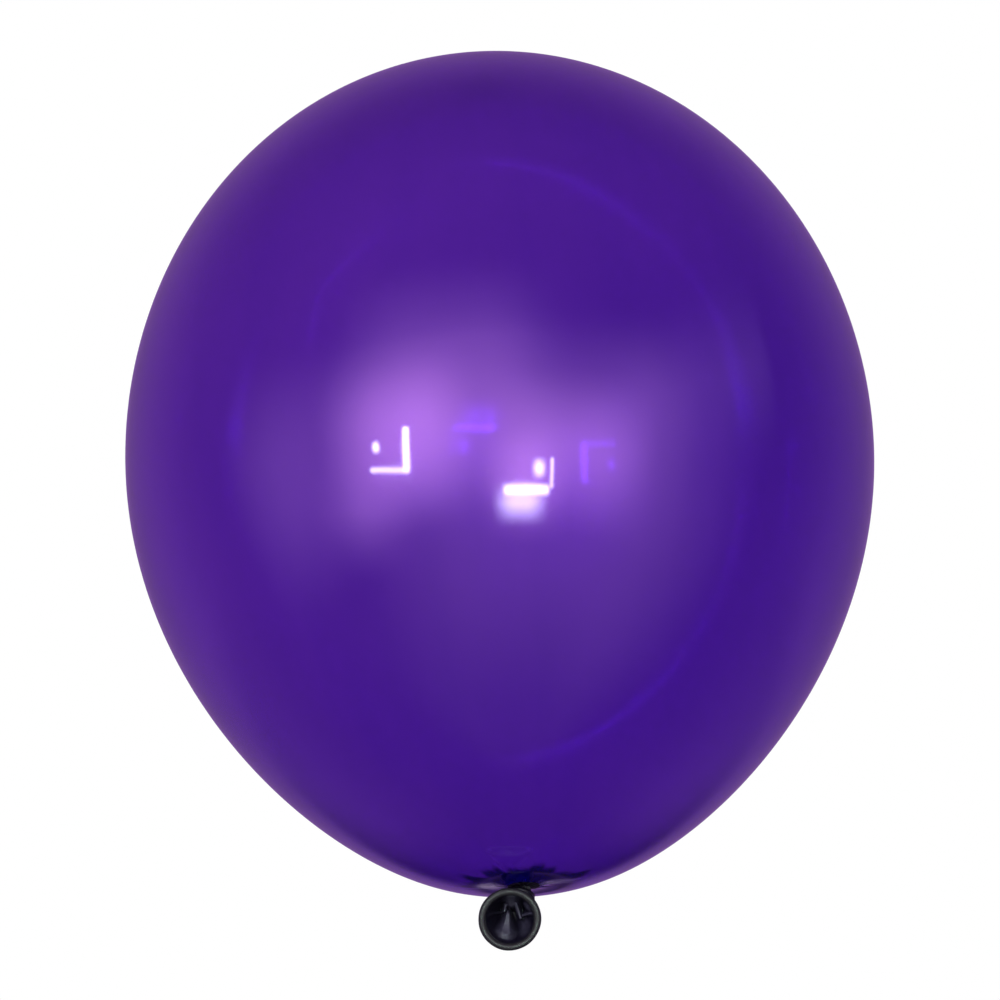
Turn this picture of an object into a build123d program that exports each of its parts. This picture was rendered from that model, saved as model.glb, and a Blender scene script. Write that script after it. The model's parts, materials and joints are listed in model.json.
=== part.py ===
from build123d import *
import os
from math import cos, radians, sin

# A 12 inch latex party balloon, blown up, its neck tied in one overhand knot and its mouth turned
# towards -Y. Millimetres. The origin is the middle of the waist between envelope and knot, where a
# ribbon ties, and +Z runs up through the crown.
#
# The real film is one dipped piece, knotted on itself. It is made here as the stretches that a hand
# can tell apart, each a solid of its own. Blown up, the film is about 0.015 mm thick. The envelope
# is a shell of FILM instead.

# Envelope, the blown-up part
EQUATOR_RADIUS = 150.0
CROWN_RISE = 166.0        # crown above the equator
ROUND_HANDLE = 0.5523     # handle length that bends a Bezier curve into a quarter ellipse
BELLY_DROP = 176.0        # equator down to the shoulder
BELLY_FULLNESS = 0.555    # how far the side stays steep below the equator, as a share of the drop
BOTTOM_FLATNESS = 0.445   # how far the bottom stays flat, as a share of the equator's radius
BOTTOM_DISH = 0.02        # rise of the bottom over that stretch, as a share of the drop
SHOULDER_RADIUS = 18.0    # where the round bottom gives way to the drawn-in neck
SHOULDER_Z = 2.0
FILM = 0.4

# Neck, gathered into pleats under the envelope and squeezed to a cord inside the knot
GATHER_RADIUS = 9.0       # where the pleats begin
GATHER_Z = 1.3
GATHER_DOME = 1.6         # folded film heaped up inside the pleats
WAIST_RADIUS = 2.6
WAIST_TOP = 0.5
STEM_BOTTOM = -6.2
STEM_END_FILLET = 1.0
PLEATS = 12
PLEAT_RADIUS = 0.45
PLEAT_DEPTH = 0.2
PLEAT_SAG = 0.15          # underside below its rim, where the grooves run
PLEAT_SLOPE = 4.0         # degrees

# Knot: the turn round the stem, and the strand pulled through it towards the tail
WRAP_CENTRE = (-2.2, 0.0, -3.6)
WRAP_RADIUS = 4.3         # to the middle of the band
WRAP_HALF_WIDTH = 2.1     # of the band, away from the stem
WRAP_HALF_HEIGHT = 3.1    # of the band, along the stem
WRAP_LEAN = 9.0           # degrees, lower towards +X
STRAND_RADIUS = 2.9
STRAND_START = (3.0, 2.4, -8.2)
STRAND_END = (-4.6, -3.0, -7.8)

# Tail, the free end of the neck, which bends where it leaves the knot
BEND_POINT = (-6.0, -5.6, -8.9)
MOUTH_CENTRE = (-6.0, -18.6, -16.2)
MOUTH_DROOP = 20.0        # degrees that the mouth looks down
MOUTH_RADIUS = 9.2        # inside the open end
SLEEVE_WALL = 0.6
STRAIGHT_LENGTH = 4.5     # round stretch behind the rim
THROAT_RADIUS = 2.1       # of the funnel's narrow end, outside
NUB_RADIUS = 2.3
BEAD_RADIUS = 1.45        # of the rolled rim's own section
BEAD_BITE = 0.55          # how deep the sleeve sits in the rolled rim

CLEARANCE = 0.3           # between stretches that move against each other

mouth_axis = Vector(0, -cos(radians(MOUTH_DROOP)), -sin(radians(MOUTH_DROOP)))
mouth_plane = Plane(origin=MOUTH_CENTRE, x_dir=(1, 0, 0), z_dir=mouth_axis)
throat_offset = mouth_plane.to_local_coords(Vector(BEND_POINT))
sleeve_radius = MOUTH_RADIUS + SLEEVE_WALL
funnel_length = -throat_offset.Z - STRAIGHT_LENGTH


def save(piece, name):
    """Labels a finished sub-part and writes it as its own STEP file."""
    piece.part.label = name
    export_step(piece.part, f"parts/{name}.step")
    print(f"{name}: {len(piece.part.solids())} solid, {piece.part.volume:.1f} mm3")


def envelope_side(inset):
    """Draws the film's outline from crown to gather, this far inside its outer face."""
    radius = EQUATOR_RADIUS - inset
    shoulder_z = SHOULDER_Z + inset
    equator_z = SHOULDER_Z + BELLY_DROP
    rise = CROWN_RISE - inset
    crown = Bezier(
        (0, equator_z + rise),
        (ROUND_HANDLE * radius, equator_z + rise),
        (radius, equator_z + ROUND_HANDLE * rise),
        (radius, equator_z),
    )
    Bezier(
        (radius, equator_z),
        (radius, equator_z - BELLY_FULLNESS * BELLY_DROP),
        (BOTTOM_FLATNESS * radius, shoulder_z + BOTTOM_DISH * BELLY_DROP),
        (SHOULDER_RADIUS, shoulder_z),
    )
    drawn_in = Bezier(
        (SHOULDER_RADIUS, shoulder_z),
        (0.5 * (SHOULDER_RADIUS + GATHER_RADIUS), shoulder_z - 0.3),
        (GATHER_RADIUS, GATHER_Z + inset),
    )
    return crown @ 0, drawn_in @ 1


def funnel_sections(inset, length):
    """Draws the tail's round sections, this far inside its outer face, from the straight stretch back."""
    sections = []
    for share, radius in ((0, sleeve_radius), (0.5, 0.55 * sleeve_radius), (1, THROAT_RADIUS)):
        rise = throat_offset.Y * share * length / funnel_length
        with BuildSketch(mouth_plane.offset(-STRAIGHT_LENGTH - share * length)) as section:
            with Locations((0, rise)):
                Circle(radius - inset)
        sections.append(section.sketch)
    return sections


os.makedirs("parts", exist_ok=True)

# ---- envelope: a closed skin of revolution, open only at the gather
with BuildPart() as envelope:
    with BuildSketch(Plane.XZ):
        with BuildLine():
            crown_outside, rim_outside = envelope_side(0)
            crown_inside, rim_inside = envelope_side(FILM)
            Line(crown_outside, crown_inside)
            Line(rim_outside, rim_inside)
        make_face()
    revolve(axis=Axis.Z)
save(envelope, "envelope")

# ---- neck gather: the film folded into pleats, then one solid cord down through the knot
with BuildPart() as neck_gather:
    with BuildSketch(Plane.XZ):
        with BuildLine():
            pleated_side = Bezier(
                (GATHER_RADIUS, GATHER_Z),
                (0.6 * GATHER_RADIUS, GATHER_Z - 0.2),
                (WAIST_RADIUS + 0.4, GATHER_Z - 0.2),
                (WAIST_RADIUS, WAIST_TOP),
            )
            Polyline(
                pleated_side @ 1,
                (WAIST_RADIUS, STEM_BOTTOM),
                (0, STEM_BOTTOM),
                (0, GATHER_Z + GATHER_DOME),
                (GATHER_RADIUS, GATHER_Z + FILM),
                pleated_side @ 0,
            )
        make_face()
    revolve(axis=Axis.Z)
    fillet(neck_gather.edges().sort_by(Axis.Z)[0], STEM_END_FILLET)
    # each valley between pleats is a round groove along the underside
    with PolarLocations(0, PLEATS):
        with Locations((0.62 * GATHER_RADIUS, 0, GATHER_Z - PLEAT_SAG + PLEAT_DEPTH - PLEAT_RADIUS)):
            Cylinder(
                PLEAT_RADIUS,
                0.5 * GATHER_RADIUS,
                rotation=(0, 90 - PLEAT_SLOPE, 0),
                mode=Mode.SUBTRACT,
            )
save(neck_gather, "neck_gather")

# ---- knot loop: the turn of the overhand knot that lies round the stem
lean = radians(WRAP_LEAN)
loop_plane = Plane(origin=WRAP_CENTRE, x_dir=(cos(lean), 0, -sin(lean)), z_dir=(0, -1, 0))
with BuildPart() as knot_loop:
    with BuildSketch(loop_plane):
        with Locations((WRAP_RADIUS, 0)):
            Ellipse(WRAP_HALF_WIDTH, WRAP_HALF_HEIGHT)
    revolve(axis=Axis(WRAP_CENTRE, loop_plane.y_dir))
    Cylinder(WAIST_RADIUS + CLEARANCE, 10 * WRAP_HALF_HEIGHT, mode=Mode.SUBTRACT)
save(knot_loop, "knot_loop")

# ---- knot strand: pulled through the loop, under the stem, to the tail
with BuildPart() as knot_strand:
    with BuildLine() as strand_path:
        TangentArc(STRAND_END, STRAND_START, tangent=Vector(STRAND_END) - Vector(BEND_POINT))
    with BuildSketch(Plane(origin=strand_path.line @ 0, z_dir=strand_path.line % 0)):
        Circle(STRAND_RADIUS)
    sweep()
    with Locations(STRAND_START):
        Sphere(STRAND_RADIUS)
    add(knot_loop.part, mode=Mode.SUBTRACT)
    with Locations((0, 0, STEM_BOTTOM - CLEARANCE)):
        Cylinder(
            WAIST_RADIUS + CLEARANCE,
            -STEM_BOTTOM,
            align=(Align.CENTER, Align.CENTER, Align.MIN),
            mode=Mode.SUBTRACT,
        )
save(knot_strand, "knot_strand")

# ---- tail sleeve: a round mouth that narrows to the throat, where the tail bends
with BuildPart() as tail_hollow:
    with BuildSketch(mouth_plane):
        Circle(MOUTH_RADIUS)
    extrude(amount=-STRAIGHT_LENGTH)
    loft(funnel_sections(SLEEVE_WALL, 0.72 * funnel_length))
with BuildPart() as tail_sleeve:
    with BuildSketch(mouth_plane):
        Circle(sleeve_radius)
    extrude(amount=-STRAIGHT_LENGTH)
    loft(funnel_sections(0, funnel_length))
    with Locations(BEND_POINT):
        Sphere(NUB_RADIUS)
    add(tail_hollow.part, mode=Mode.SUBTRACT)
save(tail_sleeve, "tail_sleeve")

# ---- rolled bead: the rim of the mouth, rolled up outside the sleeve
with BuildPart() as rolled_bead:
    with Locations(mouth_plane.location):
        Torus(sleeve_radius - BEAD_BITE + BEAD_RADIUS, BEAD_RADIUS)
    add(tail_sleeve.part, mode=Mode.SUBTRACT)
save(rolled_bead, "rolled_bead")
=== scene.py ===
import json
from math import cos, exp, pi, radians, sin

import bmesh
import bpy
from mathutils import Matrix, Vector


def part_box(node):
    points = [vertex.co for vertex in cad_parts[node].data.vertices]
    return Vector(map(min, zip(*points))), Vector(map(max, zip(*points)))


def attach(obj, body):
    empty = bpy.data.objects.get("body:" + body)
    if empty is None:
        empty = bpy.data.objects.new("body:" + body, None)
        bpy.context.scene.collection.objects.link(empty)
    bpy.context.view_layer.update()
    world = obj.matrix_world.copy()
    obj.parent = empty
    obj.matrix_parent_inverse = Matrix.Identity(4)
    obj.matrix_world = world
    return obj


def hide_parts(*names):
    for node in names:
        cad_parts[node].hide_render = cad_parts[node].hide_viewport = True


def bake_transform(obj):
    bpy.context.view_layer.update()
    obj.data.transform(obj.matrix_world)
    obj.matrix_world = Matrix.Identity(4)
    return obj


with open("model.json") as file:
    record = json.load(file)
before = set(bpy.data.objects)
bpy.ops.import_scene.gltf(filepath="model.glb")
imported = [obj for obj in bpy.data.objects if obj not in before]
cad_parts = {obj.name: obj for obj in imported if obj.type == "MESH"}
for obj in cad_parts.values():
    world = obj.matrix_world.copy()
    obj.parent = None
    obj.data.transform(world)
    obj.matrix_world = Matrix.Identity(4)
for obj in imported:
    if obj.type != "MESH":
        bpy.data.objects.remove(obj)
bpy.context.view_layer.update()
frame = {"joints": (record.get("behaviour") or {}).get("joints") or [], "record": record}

# A blown-up balloon of clear purple latex, in metres, in the CAD frame: the origin is the waist
# above the knot, +Z runs up through the crown and the mouth of the tail faces -Y.
MM = 0.001

# Film of the envelope, round the same outline as the CAD shell
film_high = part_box("envelope")[1]
EQUATOR_RADIUS = film_high.x
CROWN_RISE = 0.166                 # from the equator up to the crown
BELLY_DROP = 0.176                 # from the equator down to the shoulder
equator_z = film_high.z - CROWN_RISE
shoulder_z = equator_z - BELLY_DROP
BELLY_FULLNESS = 0.555             # curve handles of the lower half, as shares of the drop,
BOTTOM_FLATNESS = 0.445            # of the equator's radius
BOTTOM_DISH = 0.02                 # and of the drop again
SHOULDER_RADIUS = 0.018
GATHER_RADIUS = 0.0055
GATHER_DROP = 0.0011
FILM_THICKNESS = 0.25 * MM
AROUND = 224                       # points round the film and rings down each stretch of it
CROWN_RINGS = 60
BELLY_RINGS = 84
NECK_RINGS = 18
SLOPE_STEP = 0.002                 # how far either side a slope is measured, as a share of a stretch

# Neck
WAIST_RADIUS = 2.6 * MM
WAIST_TOP = 0.3 * MM
PLEATS = 11
PLEAT_HEIGHT = 0.6 * MM
PLEAT_REACH = 0.014                # radius at which the film begins to fold
GATHER_LIP = GATHER_RADIUS + 0.7 * MM
GATHER_AROUND = 204                # points round the gather, and rings down each stretch of it
HEAP_RINGS = 9
UNDERSIDE_RINGS = 14
CORD_RINGS = 12
CORD_LENGTH = 6.0 * MM
CORD_TWIST = 0.5                   # radians

# Tail
joints = {joint["name"]: joint for joint in frame["joints"]}
bend_point = Vector(joints["tail_bend"]["pos_m"])
mouth = next(m for m in frame["record"]["mounts"] if m["name"] == "mouth")
mouth_axis = Vector(mouth["axis"]).normalized()
MOUTH_RADIUS = mouth["dims"]["r_mm"] * MM
mouth_centre = Vector(mouth["pos_m"]) + mouth_axis * mouth["dims"]["length_mm"] * MM / 2
MOUTH_ACROSS = Vector((1, 0, 0))
MOUTH_UP = mouth_axis.cross(MOUTH_ACROSS)
BEAD_RADIUS = 1.35 * MM
BEAD_CENTRE_RADIUS = MOUTH_RADIUS + 0.05 * MM + BEAD_RADIUS


# ---------------------------------------------------------------- mesh helpers

def smoothstep(low, high, value):
    """0 below low, 1 above high, and a smooth rise between."""
    share = min(max((value - low) / (high - low), 0.0), 1.0)
    return share * share * (3 - 2 * share)


def bump_at(angle, centre, width):
    """A smooth ridge of height 1 at an angle, in radians, on a circle."""
    away = (angle - centre + pi) % (2 * pi) - pi
    return exp(-((away / width) ** 2))


def bezier(points, share):
    """A point on the cubic Bezier curve through 2-D control points."""
    a, b, c, d = points
    u = 1 - share
    weights = (u * u * u, 3 * u * u * share, 3 * u * share * share, share * share * share)
    return tuple(sum(w * p[i] for w, p in zip(weights, (a, b, c, d))) for i in range(2))


def catmull(points, share):
    """A point on the smooth curve that passes through all of a list of vectors."""
    spans = len(points) - 1
    at = min(share * spans, spans - 1e-9)
    i = int(at)
    t = at - i
    p1, p2 = points[i], points[i + 1]
    p0 = points[i - 1] if i > 0 else p1 * 2 - p2
    p3 = points[i + 2] if i + 2 <= spans else p2 * 2 - p1
    a = p1 * 2
    b = p2 - p0
    c = p0 * 2 - p1 * 5 + p2 * 4 - p3
    d = p1 * 3 - p0 - p2 * 3 + p3
    return (a + b * t + c * t * t + d * t * t * t) * 0.5


def skin(name, rings, joined=False, material=None):
    """A closed mesh from a stack of closed rings: ends capped, or the last ring joined to the first."""
    mesh = bpy.data.meshes.new(name)
    work = bmesh.new()
    rows = []
    for ring in rings:
        rows.append([work.verts.new(point) for point in ring])
    pairs = list(zip(rows[:-1], rows[1:]))
    if joined:
        pairs.append((rows[-1], rows[0]))
    for upper, lower in pairs:
        count = len(upper)
        for i in range(count):
            j = (i + 1) % count
            work.faces.new((upper[i], upper[j], lower[j], lower[i]))
    if not joined:
        for row, flip in ((rows[0], True), (rows[-1], False)):
            middle = work.verts.new(sum((v.co for v in row), Vector()) / len(row))
            count = len(row)
            for i in range(count):
                j = (i + 1) % count
                corners = (row[i], middle, row[j]) if flip else (row[j], middle, row[i])
                work.faces.new(corners)
    bmesh.ops.recalc_face_normals(work, faces=work.faces)
    for face in work.faces:
        face.smooth = True
    work.to_mesh(mesh)
    work.free()
    piece = bpy.data.objects.new(name, mesh)
    bpy.context.scene.collection.objects.link(piece)
    if material:
        mesh.materials.append(material)
    return piece


def mark_talc_and_highlight(piece, amounts):
    """Marks how much talc and painted highlight each vertex carries, 0 to 1. The caps' middles, which come
    last, have none.
    """
    mesh = piece.data
    talc_and_highlight = mesh.attributes.new("talc_and_highlight", "FLOAT", "POINT")
    talc_and_highlight.data.foreach_set("value", amounts + [0.0] * (len(mesh.vertices) - len(amounts)))


# ---------------------------------------------------------------- materials

class Nodes:
    """A short way to build a material's or a world's nodes."""

    def __init__(self, owner, shader="Principled BSDF"):
        owner.use_nodes = True
        self.tree = owner.node_tree
        self.shader = self.tree.nodes[shader]

    def add(self, kind, inputs=None, **settings):
        """Adds a node. Its inputs are linked where a socket is given, or else set to the value."""
        node = self.tree.nodes.new(kind)
        for key, value in settings.items():
            setattr(node, key, value)
        for key, value in (inputs or {}).items():
            if isinstance(value, bpy.types.NodeSocket):
                self.tree.links.new(value, node.inputs[key])
            else:
                node.inputs[key].default_value = value
        return node

    def set(self, **constants):
        """Sets sockets of the shader, named with _ for each space."""
        for key, value in constants.items():
            self.shader.inputs[key.replace("_", " ")].default_value = value

    def link(self, socket, to):
        self.tree.links.new(socket, self.shader.inputs[to])

    def math(self, operation, *values):
        return self.add("ShaderNodeMath", dict(enumerate(values)), operation=operation).outputs[0]

    def ramp(self, value, low, high, to_low=0.0, to_high=1.0):
        inputs = {"Value": value, "From Min": low, "From Max": high, "To Min": to_low, "To Max": to_high}
        node = self.add("ShaderNodeMapRange", inputs, interpolation_type="SMOOTHSTEP")
        return node.outputs["Result"]

    def mix(self, share, first, second):
        """A mix of two colours. The node's colour sockets are inputs 6 and 7 and output 2."""
        return self.add("ShaderNodeMix", {0: share, 6: first, 7: second}, data_type="RGBA").outputs[2]

    def noise(self, place, scale, detail=3.0, roughness=0.5, stretch=None):
        if stretch:
            scaled = self.add("ShaderNodeVectorMath", {0: place, 1: stretch}, operation="MULTIPLY")
            place = scaled.outputs[0]
        inputs = {"Vector": place, "Scale": scale, "Detail": detail, "Roughness": roughness}
        return self.add("ShaderNodeTexNoise", inputs).outputs["Fac"]


# Colours of one wall of film, stretched thin over the envelope and thicker by the neck
FILM_TINT = Vector((0.285, 0.112, 0.597))
FILM_UNEVEN = Vector((0.17, 0.21, 0.06))       # how far each channel strays, as a share of it
FILM_NEAR_NECK = (0.28, 0.065, 0.84, 1)
FILM_AT_NECK = (0.006, 0.005, 0.165, 1)
FILM_AT_CROWN = (0.16, 0.06, 0.42, 1)
# pale colour of the painted highlights beside the neck
PAINTED_HIGHLIGHT_COLOUR = (0.62, 0.50, 0.70, 1)
# How far out each darker zone reaches: where it begins to show, and where it is full
NEAR_NECK_REACH = (0.055, 0.018)
AT_NECK_REACH = (0.0265, 0.0200)
CROWN_REACH = (0.018, 0.005)
NECK_ZONE = (0.03, 0.012)          # heights between which the neck's zones come in, going down
NECK_LOBES = 0.030                 # how far they stray in and out round the axis
# Painted highlights beside the neck, standing in for the reflections on the film's flare: middle, half
# size and strength
PAINTED_HIGHLIGHT_SPOTS = (
    ((-0.0130, 0.0010), (0.0070, 0.0065), 0.60),
    ((0.0125, -0.0005), (0.0085, 0.0050), 0.36),
)
FILM_INDEX = 1.8                   # above real latex, so that dimmer lights give the photograph's gloss
FILM_ROUGHNESS = (0.03, 0.07)
FILM_GLOSS_TINT = (1.0, 0.6, 1.0, 1)
THICK_GLOSS_TINT = (0.85, 1.0, 0.75, 1)
SPECKS = 0.07                      # the most talc in the specks that all the thick latex carries


def film_material():
    """Clear purple latex, uneven in thickness, darker by the neck and at the very crown, with painted
    highlights either side of the neck.
    """
    material = bpy.data.materials.new("latex_film")
    n = Nodes(material)
    place = n.add("ShaderNodeTexCoord").outputs["Object"]
    x, y, z = n.add("ShaderNodeSeparateXYZ", {0: place}).outputs
    flat = n.add("ShaderNodeCombineXYZ", {0: x, 1: y}).outputs[0]
    radius = n.add("ShaderNodeVectorMath", {0: flat}, operation="LENGTH").outputs["Value"]
    # runs from dipping: faint streaks along the meridians
    outward = n.add("ShaderNodeVectorMath", {0: flat}, operation="NORMALIZE").outputs[0]
    streaks = n.noise(outward, scale=13.0, detail=4.0, roughness=0.6)
    cloud = n.noise(place, scale=9.0, detail=2.0)
    # lighter towards the top and the left, darker towards the bottom and the right
    slant = n.math("SUBTRACT", n.math("SUBTRACT", z, equator_z), x)
    tone = n.math("ADD", n.ramp(streaks, 0.3, 0.7, -0.07, 0.07), n.ramp(cloud, 0.3, 0.7, -0.10, 0.10))
    tone = n.math("ADD", tone, n.ramp(slant, -0.20, 0.20, 0.12, 0.88))
    low = Vector(t * (1 - u) for t, u in zip(FILM_TINT, FILM_UNEVEN))
    high = Vector(t * (1 + u) for t, u in zip(FILM_TINT, FILM_UNEVEN))
    clear = n.mix(tone, (*low, 1), (*high, 1))
    lobes = n.noise(outward, scale=3.5, detail=2.0)
    reach = n.math("ADD", radius, n.math("MULTIPLY", n.math("SUBTRACT", lobes, 0.5), NECK_LOBES))
    below = n.ramp(z, *NECK_ZONE)
    halo = n.math("MULTIPLY", n.ramp(reach, *NEAR_NECK_REACH, 0.0, 0.4), below)
    crown = n.math("MULTIPLY", n.ramp(reach, *CROWN_REACH, 0.0, 0.25), n.ramp(z, equator_z, film_high.z))
    thick = n.math("MULTIPLY", n.ramp(reach, *AT_NECK_REACH), below)
    colour = n.mix(halo, clear, FILM_NEAR_NECK)
    colour = n.mix(crown, colour, FILM_AT_CROWN)
    colour = n.mix(thick, colour, FILM_AT_NECK)
    # painted highlights either side of the neck: mottled pale patches that stand in for the reflections on
    # the film's flare and let less light through
    patchy = n.ramp(n.noise(place, scale=160.0, roughness=0.6), 0.3, 0.7, 0.6, 1.2)
    talc_and_highlight = 0.0
    for spot, size, strength in PAINTED_HIGHLIGHT_SPOTS:
        patch = {"Vector": flat, "Location": (*spot, 0), "Scale": (*size, 1)}
        local = n.add("ShaderNodeMapping", patch, vector_type="TEXTURE").outputs[0]
        away = n.add("ShaderNodeVectorMath", {0: local}, operation="LENGTH").outputs["Value"]
        talc_and_highlight = n.math("ADD", talc_and_highlight, n.ramp(away, 1.3, 0.2, 0.0, strength))
    talc_and_highlight = n.math("MULTIPLY", n.math("MULTIPLY", talc_and_highlight, patchy), below)
    n.link(n.mix(talc_and_highlight, colour, PAINTED_HIGHLIGHT_COLOUR), "Base Color")
    n.link(n.math("SUBTRACT", 1.0, talc_and_highlight), "Transmission Weight")
    n.set(IOR=FILM_INDEX, Specular_Tint=FILM_GLOSS_TINT)
    swell = n.noise(place, scale=16.0, detail=2.0)
    bump = n.add("ShaderNodeBump", {"Strength": 0.05, "Distance": 0.0008, "Height": swell}).outputs[0]
    n.link(bump, "Normal")
    gloss = n.noise(place, scale=30.0, detail=2.0)
    n.link(n.ramp(gloss, 0.35, 0.75, *FILM_ROUGHNESS), "Roughness")
    return material


def thick_material(name, tint, roughness, wrinkle_scale, wrinkle, talc_and_highlight):
    """Latex that isn't stretched: nearly black, with a dull gloss, wrinkles, talc specks, and the talc and
    painted highlights that the mesh is marked with.
    """
    material = bpy.data.materials.new(name)
    n = Nodes(material)
    place = n.add("ShaderNodeTexCoord").outputs["Object"]
    cloud = n.noise(place, scale=260.0, detail=4.0, roughness=0.6)
    base = n.mix(cloud, (*(t * 0.7 for t in tint), 1), (*(t * 1.3 for t in tint), 1))
    amount = n.add("ShaderNodeAttribute", attribute_name="talc_and_highlight").outputs["Fac"]
    patchy = n.ramp(n.noise(place, scale=500.0, roughness=0.6), 0.2, 0.8, 0.7, 1.2)
    amount = n.math("MULTIPLY", amount, patchy)
    specks = n.ramp(n.noise(place, scale=900.0, detail=4.0, roughness=0.7), 0.45, 0.8, 0.0, SPECKS)
    n.link(n.mix(n.math("ADD", amount, specks), base, (*talc_and_highlight, 1)), "Base Color")
    n.set(IOR=1.5, Specular_Tint=THICK_GLOSS_TINT)
    n.link(n.ramp(cloud, 0.3, 0.7, roughness * 0.8, roughness * 1.25), "Roughness")
    folds = n.noise(place, wrinkle_scale, detail=4.0, roughness=0.55, stretch=(1.0, 1.0, 0.35))
    grain = n.noise(place, scale=3200.0, detail=2.0)
    height = n.math("ADD", folds, n.math("MULTIPLY", grain, 0.08))
    relief = {"Strength": wrinkle, "Distance": 0.0005, "Height": height}
    n.link(n.add("ShaderNodeBump", relief).outputs[0], "Normal")
    return material


# ---------------------------------------------------------------- envelope

def film_outline(share):
    """Radius and height of the film's outer face: 0 at crown, 1 at equator, 2 at shoulder, 3 at gather."""
    if share <= 1:
        angle = (1 - share) * pi / 2
        return EQUATOR_RADIUS * cos(angle), equator_z + CROWN_RISE * sin(angle)
    if share <= 2:
        return bezier((
            (EQUATOR_RADIUS, equator_z),
            (EQUATOR_RADIUS, equator_z - BELLY_FULLNESS * BELLY_DROP),
            (BOTTOM_FLATNESS * EQUATOR_RADIUS, shoulder_z + BOTTOM_DISH * BELLY_DROP),
            (SHOULDER_RADIUS, shoulder_z),
        ), share - 1)
    # the handles of the short curve from the shoulder in to the gather are given one by one
    return bezier((
        (SHOULDER_RADIUS, shoulder_z),
        (0.67 * SHOULDER_RADIUS, shoulder_z),
        (0.45 * SHOULDER_RADIUS, shoulder_z - 0.25 * GATHER_DROP),
        (GATHER_RADIUS, shoulder_z - GATHER_DROP),
    ), share - 2)


def pleat(angle, turn=0.0):
    """Folds round the neck: rounded ridges of uneven width between narrower valleys, from -0.5 to 0.5."""
    uneven = angle + 0.22 * sin(2 * angle + 1.1) + 0.10 * sin(3 * angle + 4.0)
    uneven += 0.05 * sin(5 * angle + 2.0)
    ridge = 1 - (0.5 + 0.5 * cos(PLEATS * (uneven + turn))) ** 1.6
    size = 0.72 + 0.28 * sin(3 * angle + 0.7)
    return size * (ridge - 0.5)


def film_point(share, angle, inset):
    """A point on the film, with pleats that grow towards the neck."""
    radius, height = film_outline(share)
    ahead, lower = film_outline(min(share + SLOPE_STEP, 3.0))
    back, upper = film_outline(max(share - SLOPE_STEP, 0.0))
    slope = Vector((ahead - back, lower - upper)).normalized()
    outward = Vector((-slope.y, slope.x))
    if share > 1:
        grow = smoothstep(PLEAT_REACH, GATHER_RADIUS, radius) ** 2
    else:
        grow = 0.0
    fold = grow * PLEAT_HEIGHT * pleat(angle)
    radius += outward.x * (fold - inset)
    height += outward.y * (fold - inset)
    return Vector((radius * cos(angle), radius * sin(angle), height))


def film_ring(share, inset):
    return [film_point(share, 2 * pi * i / AROUND, inset) for i in range(AROUND)]


def make_envelope():
    shares = [(i + 0.35) / CROWN_RINGS for i in range(CROWN_RINGS)]
    shares += [1 + i / BELLY_RINGS for i in range(BELLY_RINGS)]
    shares += [2 + i / NECK_RINGS for i in range(NECK_RINGS + 1)]
    mesh = bpy.data.meshes.new("envelope_film")
    work = bmesh.new()
    rims = []
    for inset in (0.0, FILM_THICKNESS):
        rows = [[work.verts.new(p) for p in film_ring(share, inset)] for share in shares]
        for upper, lower in zip(rows[:-1], rows[1:]):
            for i in range(AROUND):
                j = (i + 1) % AROUND
                corners = (upper[i], lower[i], lower[j], upper[j])
                work.faces.new(corners if inset == 0 else corners[::-1])
        top = work.verts.new((0, 0, film_high.z - inset))
        for i in range(AROUND):
            j = (i + 1) % AROUND
            corners = (top, rows[0][i], rows[0][j])
            work.faces.new(corners if inset == 0 else corners[::-1])
        rims.append(rows[-1])
    outside, inside = rims
    for i in range(AROUND):
        j = (i + 1) % AROUND
        work.faces.new((outside[i], inside[i], inside[j], outside[j]))
    for face in work.faces:
        face.smooth = True
    work.to_mesh(mesh)
    work.free()
    piece = bpy.data.objects.new("envelope_film", mesh)
    bpy.context.scene.collection.objects.link(piece)
    mesh.materials.append(film_material())
    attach(piece, "envelope")
    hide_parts("envelope")


# ---------------------------------------------------------------- neck

def make_gather(material):
    """The pleats run in to the waist, then down as a twisted cord that ends inside the knot."""
    angles = [2 * pi * k / GATHER_AROUND for k in range(GATHER_AROUND)]
    rings = []
    gather_z = shoulder_z - GATHER_DROP
    # inside the envelope: folded film heaped up over the waist
    for i in range(1, HEAP_RINGS + 1):
        share = i / HEAP_RINGS
        radius = GATHER_LIP * share
        height = gather_z + 0.6 * MM * (1 - share * share) + 0.3 * MM
        ring = []
        for a in angles:
            heap = 0.35 * MM * (1 - share) * pleat(a, 0.1) + 0.5 * MM * share * pleat(a)
            ring.append(Vector((radius * cos(a), radius * sin(a), height + heap)))
        rings.append(ring)
    # underside: from the film in to the waist
    for i in range(UNDERSIDE_RINGS + 1):
        share = i / UNDERSIDE_RINGS
        radius, height = bezier((
            (GATHER_LIP, gather_z + 0.12 * MM),
            (0.75 * GATHER_LIP, gather_z - 0.15 * MM),
            (WAIST_RADIUS + 0.5 * MM, gather_z - 0.1 * MM),
            (WAIST_RADIUS, WAIST_TOP),
        ), share)
        across = smoothstep(0.55, 1.0, share)
        ring = []
        for a in angles:
            fold = pleat(a)
            r = radius + across * PLEAT_HEIGHT * fold
            ring.append(Vector((r * cos(a), r * sin(a), height - (1 - across) * PLEAT_HEIGHT * fold)))
        rings.append(ring)
    # cord: the pleats twist as they go down into the knot
    for i in range(1, CORD_RINGS + 1):
        share = i / CORD_RINGS
        height = WAIST_TOP - share * CORD_LENGTH
        ring = []
        for a in angles:
            r = WAIST_RADIUS * (1 - 0.05 * share) + (PLEAT_HEIGHT - 0.25 * MM * share) * pleat(a)
            turned = a + CORD_TWIST * share
            ring.append(Vector((r * cos(turned), r * sin(turned), height)))
        rings.append(ring)
    piece = skin("neck_pleats", rings, material=material)
    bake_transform(piece)
    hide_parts("neck_gather")


# ---------------------------------------------------------------- knot

STRAND_AROUND = 40
PATH_STEP = 0.01                   # how far either side a path's direction is measured, as a share


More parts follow.
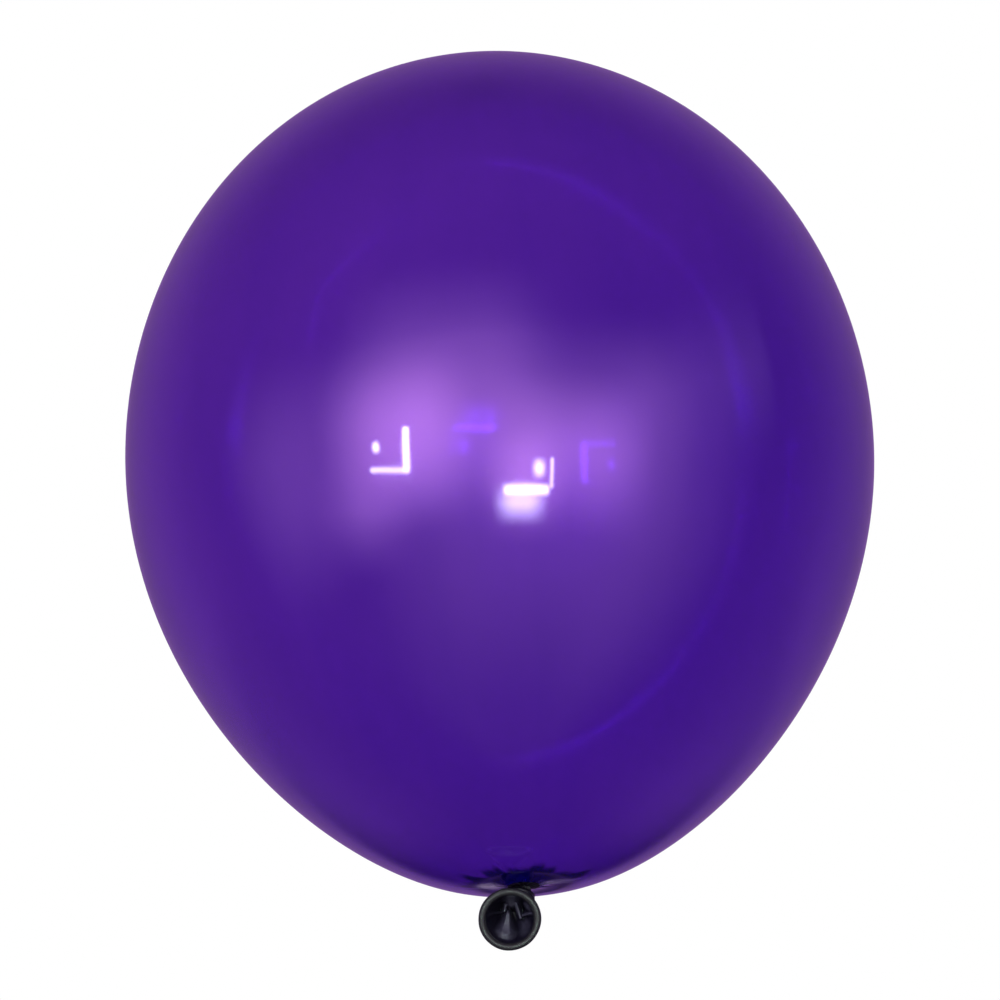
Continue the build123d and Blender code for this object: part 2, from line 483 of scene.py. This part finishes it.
def tube(name, path, size, count, fold, material):
    """A folded strand along a path. size gives its half-widths and fold its surface at a share of it."""
    rings = []
    across = None
    for i in range(count + 1):
        share = i / count
        here = path(share)
        along = (path(min(share + PATH_STEP, 1)) - path(max(share - PATH_STEP, 0))).normalized()
        if across is None:
            across = along.cross(Vector((0, 0, 1))).normalized()
        across = (across - along * across.dot(along)).normalized()
        up = along.cross(across)
        wide, thick = size(share)
        ring = []
        for k in range(STRAND_AROUND):
            a = 2 * pi * k / STRAND_AROUND
            grow = 1 + fold(share, a)
            ring.append(here + across * (thick * grow * cos(a)) + up * (wide * grow * sin(a)))
        rings.append(ring)
    return skin(name, rings, material=material)


knot_low, knot_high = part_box("knot_loop")
KNOT_CENTRE = (knot_low + knot_high) / 2
KNOT_LEAN = radians(9)
TURN_START = radians(-150)
TURN_SWEEP = radians(430)
TURN_RADIUS = 3.9 * MM             # to the strand's middle
TURN_SPREAD = 0.9 * MM             # how much wider the turn ends than it starts
TURN_TUCK = 1.6 * MM               # how far both ends tuck in towards the cord
TURN_TOP = 1.15 * MM
TURN_RINGS = 96
STRAND_RINGS = 64
# The strand's route in mm: inside the knot from the knot's centre, then on to the tail from its bend
INSIDE_KNOT = ((2.8, -1.2, 0.4), (3.6, 1.4, -1.6), (3.4, 3.0, -4.0))
TO_TAIL = ((5.8, 7.8, 0.4), (2.8, 4.6, 0.4), (0.6, 1.0, 0.2))


def make_knot(material):
    """An overhand knot: a turn round the cord, and the strand that comes out of it towards the tail."""

    def turn_path(share):
        angle = TURN_START + TURN_SWEEP * share
        ends = smoothstep(0.12, 0.0, share) + smoothstep(0.9, 1.0, share)
        radius = TURN_RADIUS + TURN_SPREAD * share - TURN_TUCK * ends
        x = radius * cos(angle)
        y = radius * sin(angle)
        z = TURN_TOP * (1 - 2 * share)
        return KNOT_CENTRE + Vector((x * cos(KNOT_LEAN) + z * sin(KNOT_LEAN), y, z - x * sin(KNOT_LEAN)))

    def turn_size(share):
        ends = max(smoothstep(0.1, 0.0, share), smoothstep(0.92, 1.0, share))
        return (2.55 - 1.5 * ends) * MM, (1.95 - 1.1 * ends) * MM

    def turn_fold(share, angle):
        folds = 0.10 * abs(sin(2.5 * angle + 1.0 + 1.8 * share)) + 0.05 * sin(7 * angle + 5 * share)
        return folds + 0.04 * sin(23 * share + 2 * angle) - 0.08

    turn = tube("knot_turn", turn_path, turn_size, TURN_RINGS, turn_fold, material)
    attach(turn, "knot")
    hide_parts("knot_loop")

    route = [KNOT_CENTRE + Vector(p) * MM for p in INSIDE_KNOT]
    route += [bend_point + Vector(p) * MM for p in TO_TAIL]

    def strand_path(share):
        return catmull(route, share)

    def strand_size(share):
        ends = smoothstep(0.2, 0.0, share)
        return (2.7 - 1.5 * ends - 0.5 * share) * MM, (2.4 - 1.3 * ends - 0.25 * share) * MM

    def strand_fold(share, angle):
        return 0.12 * abs(sin(3 * angle + 0.6 + 1.2 * share)) + 0.05 * sin(8 * angle + 6 * share) - 0.08

    strand = tube("knot_strand_folds", strand_path, strand_size, STRAND_RINGS, strand_fold, material)
    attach(strand, "knot")
    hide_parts("knot_strand")


# ---------------------------------------------------------------- tail

# Folds inside the tail, seen from the front in mm from the mouth's middle: X, Z and half width at
# one end, then at the other, then the fold's height and its talc as shares; the talc paints the highlight
# on the fold's lit ridge
MOUTH_FOLDS = (
    (0.9, 8.6, 3.4, 0.9, 5.6, 3.3, 0.80, 0.22),
    (-1.2, 5.0, 1.3, -1.9, 2.6, 1.0, 0.80, 0.35),
    (2.6, 5.2, 1.5, 4.1, -0.2, 1.1, 0.75, 0.45),
    (4.0, 0.2, 0.8, 8.4, 1.6, 0.55, 0.45, 0.70),
    (-8.6, 2.0, 0.6, -2.6, 1.9, 0.6, 0.30, 0.20),
    (-0.4, 2.2, 1.3, -1.7, -4.6, 4.1, 0.80, 0.58),
    (5.6, -2.6, 2.4, 6.0, -5.4, 2.6, 0.20, 0.32),
    (6.6, 5.2, 1.4, 7.6, 3.6, 1.4, 0.25, 0.45),
)
PINCH_RISE = 2.4 * MM
PINCH_RADIUS = 0.7 * MM
PINCH_DEPTH = 11.0 * MM
TAIL_RADII = (2.3, 2.6, 5.2, 9.0, 9.65)        # in mm, at even shares from the knot to the mouth
TAIL_AROUND = 192
TAIL_RINGS = 44
MOUTH_RINGS = 56
OUTSIDE_TALC = 0.2
TAIL_ROOT = (1.3, 2.6, 0.9)        # from the bend, in mm
BEAD_AROUND = 180
BEAD_SECTION = 32
FILM_EDGE = radians(35)            # on the bead's section, from its outside towards the front
# where on the bead's section, measured the same way, extra talc paints the bead's highlight
BEAD_PAINTED_HIGHLIGHT = radians(100)


def fold_at(x, z):
    """Height and talc of the folds at a place across the mouth, as shares. The talc is a painted highlight
    on the folds' ridges.
    """
    height = dust_and_highlight = 0.0
    for x0, z0, half0, x1, z1, half1, top, talc_and_highlight in MOUTH_FOLDS:
        run = Vector((x1 - x0, z1 - z0))
        way = Vector((x / MM - x0, z / MM - z0))
        share = min(max(way.dot(run) / run.length_squared, 0.0), 1.0)
        half = half0 + (half1 - half0) * share
        here = smoothstep(1.30 * half, 0.25 * half, (way - run * share).length)
        height = max(height, top * here)
        dust_and_highlight = max(dust_and_highlight, talc_and_highlight * here)
    return height, dust_and_highlight


def make_tail(material):
    """The free end: pinched by the knot, opening to a round mouth, with folds that fade on the way, talc
    outside, and painted highlights on the folds inside.
    """
    angles = [2 * pi * k / TAIL_AROUND for k in range(TAIL_AROUND)]
    reach = (mouth_centre - bend_point).dot(mouth_axis)
    route = [
        bend_point + Vector(TAIL_ROOT) * MM,
        bend_point,
        bend_point + mouth_axis * 0.33 * reach + (mouth_centre - bend_point - mouth_axis * reach) * 0.4,
        mouth_centre - mouth_axis * 4.2 * MM,
        mouth_centre,
    ]
    outer_radii = [Vector((r, 0, 0)) * MM for r in TAIL_RADII]
    rings = []
    dust_and_highlight = []
    for i in range(TAIL_RINGS + 1):
        share = i / TAIL_RINGS
        here = catmull(route, share)
        spread = catmull(outer_radii, share).x
        crease = 1 - smoothstep(0.2, 0.85, share)
        ring = []
        for a in angles:
            folds = 0.22 * crease * (abs(sin(3.5 * a + 0.8)) - 0.6) + 0.10 * crease * sin(9 * a + 2)
            ring.append(here + (MOUTH_ACROSS * cos(a) + MOUTH_UP * sin(a)) * spread * (1 + folds))
        rings.append(ring)
        dust_and_highlight += [OUTSIDE_TALC] * TAIL_AROUND
    # back in from the mouth to the pinch
    for i in range(MOUTH_RINGS + 1):
        share = i / MOUTH_RINGS
        radius = MOUTH_RADIUS + (PINCH_RADIUS - MOUTH_RADIUS) * share ** 1.25
        depth = PINCH_DEPTH * (1 - (radius / MOUTH_RADIUS) ** 2.6)
        ring = []
        for a in angles:
            x = radius * cos(a)
            z = radius * sin(a) + PINCH_RISE * share
            # the folds' talc is a painted highlight on their lit ridges
            raised, talc_and_highlight = fold_at(x, z)
            fade = smoothstep(0.0, 0.22, share)
            sunk = depth * (1 - 0.8 * raised * fade)
            ring.append(mouth_centre + MOUTH_ACROSS * x + MOUTH_UP * z - mouth_axis * sunk)
            dust_and_highlight.append(talc_and_highlight * fade)
        rings.append(ring)
    piece = skin("tail_funnel", rings, material=material)
    mark_talc_and_highlight(piece, dust_and_highlight)
    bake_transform(piece)
    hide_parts("tail_sleeve")


def make_bead(material):
    """The rim, rolled up several turns: a little uneven, with the film's edge showing as a fine line, talc
    all round and a painted highlight on its front.
    """
    rings = []
    dust_and_highlight = []
    for i in range(BEAD_AROUND):
        a = 2 * pi * i / BEAD_AROUND
        direction = MOUTH_ACROSS * cos(a) + MOUTH_UP * sin(a)
        thick = BEAD_RADIUS * (1 + 0.03 * sin(3 * a + 1) + 0.02 * sin(7 * a + 2))
        centre = mouth_centre + direction * (BEAD_CENTRE_RADIUS + 0.08 * MM * sin(2 * a + 0.5))
        ring = []
        for k in range(BEAD_SECTION):
            b = 2 * pi * k / BEAD_SECTION
            edge = 0.05 * bump_at(b, FILM_EDGE + 0.12 * sin(2 * a), 0.10)
            r = thick * (1 - edge)
            ring.append(centre + direction * (r * cos(b)) + mouth_axis * (r * sin(b)))
            # even talc all round, plus more towards the front as a painted highlight
            dust_and_highlight.append(0.15 + 0.35 * bump_at(b, BEAD_PAINTED_HIGHLIGHT, 1.1))
        rings.append(ring)
    piece = skin("mouth_bead", rings, joined=True, material=material)
    mark_talc_and_highlight(piece, dust_and_highlight)
    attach(piece, "tail")
    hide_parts("rolled_bead")


# ---------------------------------------------------------------- stage, light and camera

CAMERA_DISTANCE = 1.5
CAMERA_RISE = radians(-20)
CAMERA_ROLL = radians(3.2)
CAMERA_LENS = 134.7
AIM_DROP = 0.0179
AIM_SIDE = -0.0008
FLOOR_Z = -1.9

# What gloss sees: soft rectangular lights, a dim front half and a pale backdrop behind the balloon.
# A light's row is its direction from the balloon, right of the front and above level, its half width,
# half height and soft edge, then its strength and its lean. All but the strength are in degrees.
DIFFUSER_COLOUR = (0.65, 0.53, 0.75)
STRIP_COLOUR = (0.42, 0.70, 0.60)
DIM_COLOUR = (0.025, 0.010, 0.07)
BACKDROP_COLOUR = (0.245, 0.12, 0.395)
DIFFUSERS = (
    (-30, -5, 15, 13, 12, 3.2, 0),
    (-46, -20, 9, 5, 11, 1.3, -15),
    (-10, -4, 20, 12, 14, 1.7, 0),
    (22, -12, 18, 10, 11, 2.2, 0),
    (-14, 17, 24, 8, 15, 1.3, 0),
    (7, -20, 8, 7, 9, 3.2, 0),
    (-14, -6, 66, 16, 14, 0.8, 0),
    (15, -22, 50, 26, 25, 0.8, 0),
    (65, 10, 26, 9, 12, 0.35, 20),
    (0, -60, 60, 20, 20, 0.2, 0),
)
STRIP_LIGHTS = (
    (-28, -9, 0.8, 5, 0.7, 50, -9),
    (-34, -13, 6, 0.5, 0.4, 28, -12),
    (-37, -7, 0.7, 0.9, 1, 50, 0),
    (16, -18, 0.5, 3.5, 0.5, 20, 0),
    (8, -22, 7, 0.8, 1, 50, 0),
    (12, -17, 1, 1.3, 1.8, 50, 0),
    (6, -25, 6, 2, 4, 22, 0),
)

# Where parts of the surroundings begin and are full, along a component of the direction, and how
# bright they are there if that isn't 0 and 1
FRONT_HALF = (0.03, -0.04)
BACKDROP_RISE = (0.03, 0.72, 0.15, 1.0)
BACKDROP_FOOT = (-0.32, -0.08)
FOOT_SHADE = (0.20, 0.60, 0.08, 0.70)
LAMP_PLACE = (-0.5, -1.3, 0.3)
LAMP_SIZE = 0.7
LAMP_POWER = 9
FLOOR_SIZE = 60
FLOOR_GREYS = ((0.91, 0.91, 0.91, 1), (0.94, 0.94, 0.94, 1))


def make_camera():
    data = bpy.data.cameras.new("camera")
    data.lens = CAMERA_LENS
    camera = bpy.data.objects.new("camera", data)
    bpy.context.scene.collection.objects.link(camera)
    toward = Vector((0, -cos(CAMERA_RISE), sin(CAMERA_RISE)))
    right = Vector((1, 0, 0))
    up = toward.cross(right)
    rolled_right = right * cos(CAMERA_ROLL) - up * sin(CAMERA_ROLL)
    rolled_up = right * sin(CAMERA_ROLL) + up * cos(CAMERA_ROLL)
    place = Vector((AIM_SIDE, 0, equator_z - AIM_DROP)) + toward * CAMERA_DISTANCE
    camera.matrix_world = Matrix((
        (rolled_right.x, rolled_up.x, toward.x, place.x),
        (rolled_right.y, rolled_up.y, toward.y, place.y),
        (rolled_right.z, rolled_up.z, toward.z, place.z),
        (0, 0, 0, 1),
    ))
    bpy.context.scene.camera = camera


def make_floor():
    bpy.ops.mesh.primitive_plane_add(size=FLOOR_SIZE, location=(0, 0, FLOOR_Z))
    floor = bpy.context.object
    floor.name = "floor"
    material = bpy.data.materials.new("floor")
    n = Nodes(material)
    place = n.add("ShaderNodeTexCoord").outputs["Object"]
    n.link(n.mix(n.noise(place, scale=0.6), *FLOOR_GREYS), "Base Color")
    n.set(Roughness=0.9)
    floor.data.materials.append(material)
    floor.visible_glossy = False
    floor.visible_transmission = False


def make_world():
    """Plain white to look at, through the film too, and to light matte surfaces. Gloss sees the studio."""
    world = bpy.data.worlds.new("studio")
    bpy.context.scene.world = world
    world.cycles.sampling_method = "NONE"
    n = Nodes(world, "Background")
    place = n.add("ShaderNodeTexCoord").outputs["Generated"]
    x, y, z = n.add("ShaderNodeSeparateXYZ", {0: place}).outputs
    side = n.math("DEGREES", n.math("ARCTAN2", x, n.math("MULTIPLY", y, -1.0)))
    rise = n.math("DEGREES", n.math("ARCSINE", z))
    angles = n.add("ShaderNodeCombineXYZ", {0: side, 1: rise}).outputs[0]

    def soft_light(centre_side, centre_rise, half_side, half_rise, edge, strength, lean):
        frame_of_light = {
            "Vector": angles,
            "Location": (centre_side, centre_rise, 0),
            "Rotation": (0, 0, radians(lean)),
            "Scale": (half_side, half_rise, 1),
        }
        local = n.add("ShaderNodeMapping", frame_of_light, vector_type="TEXTURE").outputs[0]
        local = n.add("ShaderNodeVectorMath", {0: local}, operation="ABSOLUTE").outputs[0]
        across, along = n.add("ShaderNodeSeparateXYZ", {0: local}).outputs[:2]
        fade_side, fade_rise = edge / half_side, edge / half_rise
        first = n.ramp(across, 1 + fade_side, 1 - fade_side, 0.0, strength)
        return n.math("MULTIPLY", first, n.ramp(along, 1 + fade_rise, 1 - fade_rise))

    def all_lights(lights):
        total = 0.0
        for light in lights:
            total = n.math("ADD", total, soft_light(*light))
        return total

    in_front = n.ramp(y, *FRONT_HALF)
    behind = n.math("MULTIPLY", n.ramp(y, *BACKDROP_RISE), n.math("SUBTRACT", 1.0, in_front))
    # the backdrop's foot is dimmer, and in shade straight behind the balloon
    shade = n.ramp(n.math("ABSOLUTE", x), *FOOT_SHADE)
    height = n.ramp(z, *BACKDROP_FOOT)
    lit = n.math("ADD", height, n.math("MULTIPLY", shade, n.math("SUBTRACT", 1.0, height)))
    behind = n.math("MULTIPLY", behind, lit)
    diffusers = n.math("MULTIPLY", all_lights(DIFFUSERS), in_front)
    studio = (0.0, 0.0, 0.0)
    sources = (
        (DIFFUSER_COLOUR, diffusers),
        (STRIP_COLOUR, all_lights(STRIP_LIGHTS)),
        (DIM_COLOUR, in_front),
        (BACKDROP_COLOUR, behind),
    )
    for colour, amount in sources:
        light = n.add("ShaderNodeVectorMath", {0: colour, "Scale": amount}, operation="SCALE").outputs[0]
        studio = n.add("ShaderNodeVectorMath", {0: studio, 1: light}).outputs[0]
    reflected = n.math("GREATER_THAN", n.add("ShaderNodeLightPath").outputs["Glossy Depth"], 0.5)
    n.link(n.mix(reflected, (1, 1, 1, 1), studio), "Color")


def make_light():
    """A soft lamp in front for the knot and the tail."""
    data = bpy.data.lights.new("soft_front", "AREA")
    data.shape = "DISK"
    data.size = LAMP_SIZE
    data.energy = LAMP_POWER
    light = bpy.data.objects.new("soft_front", data)
    light.location = LAMP_PLACE
    light.rotation_euler = (-light.location).to_track_quat("-Z", "Y").to_euler()
    light.visible_camera = False
    light.visible_glossy = False
    light.visible_transmission = False
    bpy.context.scene.collection.objects.link(light)


# Both thick materials mix their talc colour in where the mesh is marked: even talc, and a painted
# highlight on the bead's front and on the tail's fold ridges
thick = thick_material(
    "latex_thick",
    tint=(0.004, 0.003, 0.009),
    roughness=0.42,
    wrinkle_scale=420.0,
    wrinkle=0.5,
    talc_and_highlight=(0.034, 0.034, 0.033),
)
inside = thick_material(
    "latex_tail",
    tint=(0.003, 0.002, 0.008),
    roughness=0.44,
    wrinkle_scale=300.0,
    wrinkle=0.3,
    talc_and_highlight=(0.050, 0.047, 0.082),
)
make_camera()
make_envelope()
make_gather(thick)
make_knot(thick)
make_tail(inside)
make_bead(thick)
make_floor()
make_world()
make_light()
bpy.context.scene.view_settings.view_transform = "Standard"
